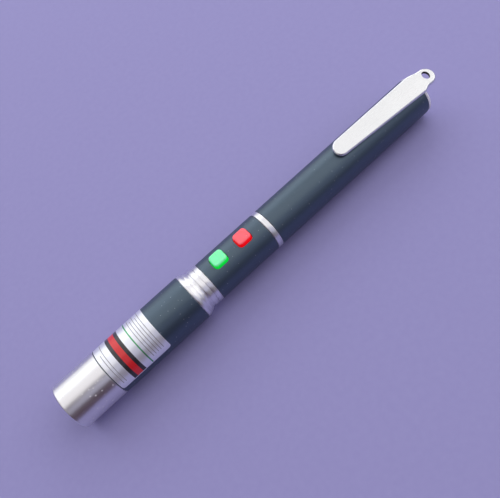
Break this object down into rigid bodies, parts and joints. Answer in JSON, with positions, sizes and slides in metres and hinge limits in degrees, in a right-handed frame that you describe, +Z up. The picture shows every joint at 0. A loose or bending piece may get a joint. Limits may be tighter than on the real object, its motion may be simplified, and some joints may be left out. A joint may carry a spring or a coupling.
{
  "type": "laser pointer",
  "caption": "Slim laser pointer pen: wider head, bright stepped collar, green and red push buttons, screw-on tail tube, and a pocket clip that ends in a lanyard eyelet.",
  "frame": {"origin": "middle of the pen's length and width, on the surface it lies on: the lowest facet of the head is at z = 0", "axes": "+X along the pen from nose to eyelet, +Z up through the middle of the buttons, +Y completes a right-handed frame"},
  "size_m": [0.1524, 0.016, 0.0169],
  "materials": {
    "satin_silver": "satin plated",
    "clip_silver": "satin plated spring steel",
    "bright_chrome": "bright turned and plated",
    "body_black": "fine matte black lacquer",
    "plate_black": "matte black",
    "bare_aluminium": "as turned",
    "turned_brass": "as turned",
    "lens_glass": "clear coated",
    "crystal": "polished",
    "diode_can": "gold plated",
    "green_plastic": "moulded, satin gloss",
    "red_plastic": "moulded, satin gloss",
    "black_plastic": "moulded",
    "white_plastic": "moulded",
    "blue_plastic": "moulded",
    "board": "green solder resist",
    "cell_wrap": "plain shrink wrap over a steel can",
    "spring_steel": "nickel plated"
  },
  "bodies": {
    "pen": {"nose_cap": "satin_silver", "aperture_plate": "plate_black", "module_block": "bare_aluminium", "green_module": "turned_brass", "green_lens_ring": "turned_brass", "green_lens": "lens_glass", "expander_lens": "lens_glass", "green_crystal": "crystal", "pump_diode": "diode_can", "red_module": "turned_brass", "red_lens_ring": "turned_brass", "red_lens": "lens_glass", "red_diode": "diode_can", "head_barrel": "body_black", "collar": "bright_chrome", "switch_tube": "body_black", "green_switch": "black_plastic", "red_switch": "black_plastic", "circuit_board": "board", "driver_chip": "black_plastic", "driver_coil": "black_plastic", "trim_resistor": "blue_plastic", "board_cradle": "black_plastic", "coupling_ring": "bright_chrome", "contact_insulator": "white_plastic", "front_contact": "turned_brass"},
    "green_key": {"green_button": "green_plastic", "green_plunger": "white_plastic"},
    "red_key": {"red_button": "red_plastic", "red_plunger": "white_plastic"},
    "cell": {"battery_cell": "cell_wrap"},
    "tail": {"tail_tube": "body_black", "tail_spring": "spring_steel", "end_cap": "satin_silver"},
    "clip": {"clip": "clip_silver"}
  },
  "joints": [
    {"name": "green_press", "type": "slide", "parent": "pen", "child": "green_key", "axis": [0, 0, -1], "range_m": [0, 0.0004], "stiffness_N_per_m": 1500},
    {"name": "red_press", "type": "slide", "parent": "pen", "child": "red_key", "axis": [0, 0, -1], "range_m": [0, 0.0004], "stiffness_N_per_m": 1500},
    {"name": "tail_draw", "type": "slide", "parent": "pen", "child": "cell", "axis": [1, 0, 0], "range_m": [0, 0.00425]},
    {"name": "tail_turn", "type": "hinge", "parent": "cell", "child": "tail", "pos_m": [0, 0, 0.00796], "axis": [1, 0, 0], "range_deg": [0, 1530]},
    {"name": "clip_flex", "type": "hinge", "parent": "tail", "child": "clip", "pos_m": [0.07065, -0.00129, 0.01443], "axis": [0, 0.9808, 0.1951], "range_deg": [0, 4], "stiffness_Nm_per_rad": 0.8}
  ],
  "couplings": [
    {"joint": "tail_turn", "follows": "tail_draw", "rad_per_m": 6283.2}
  ]
}
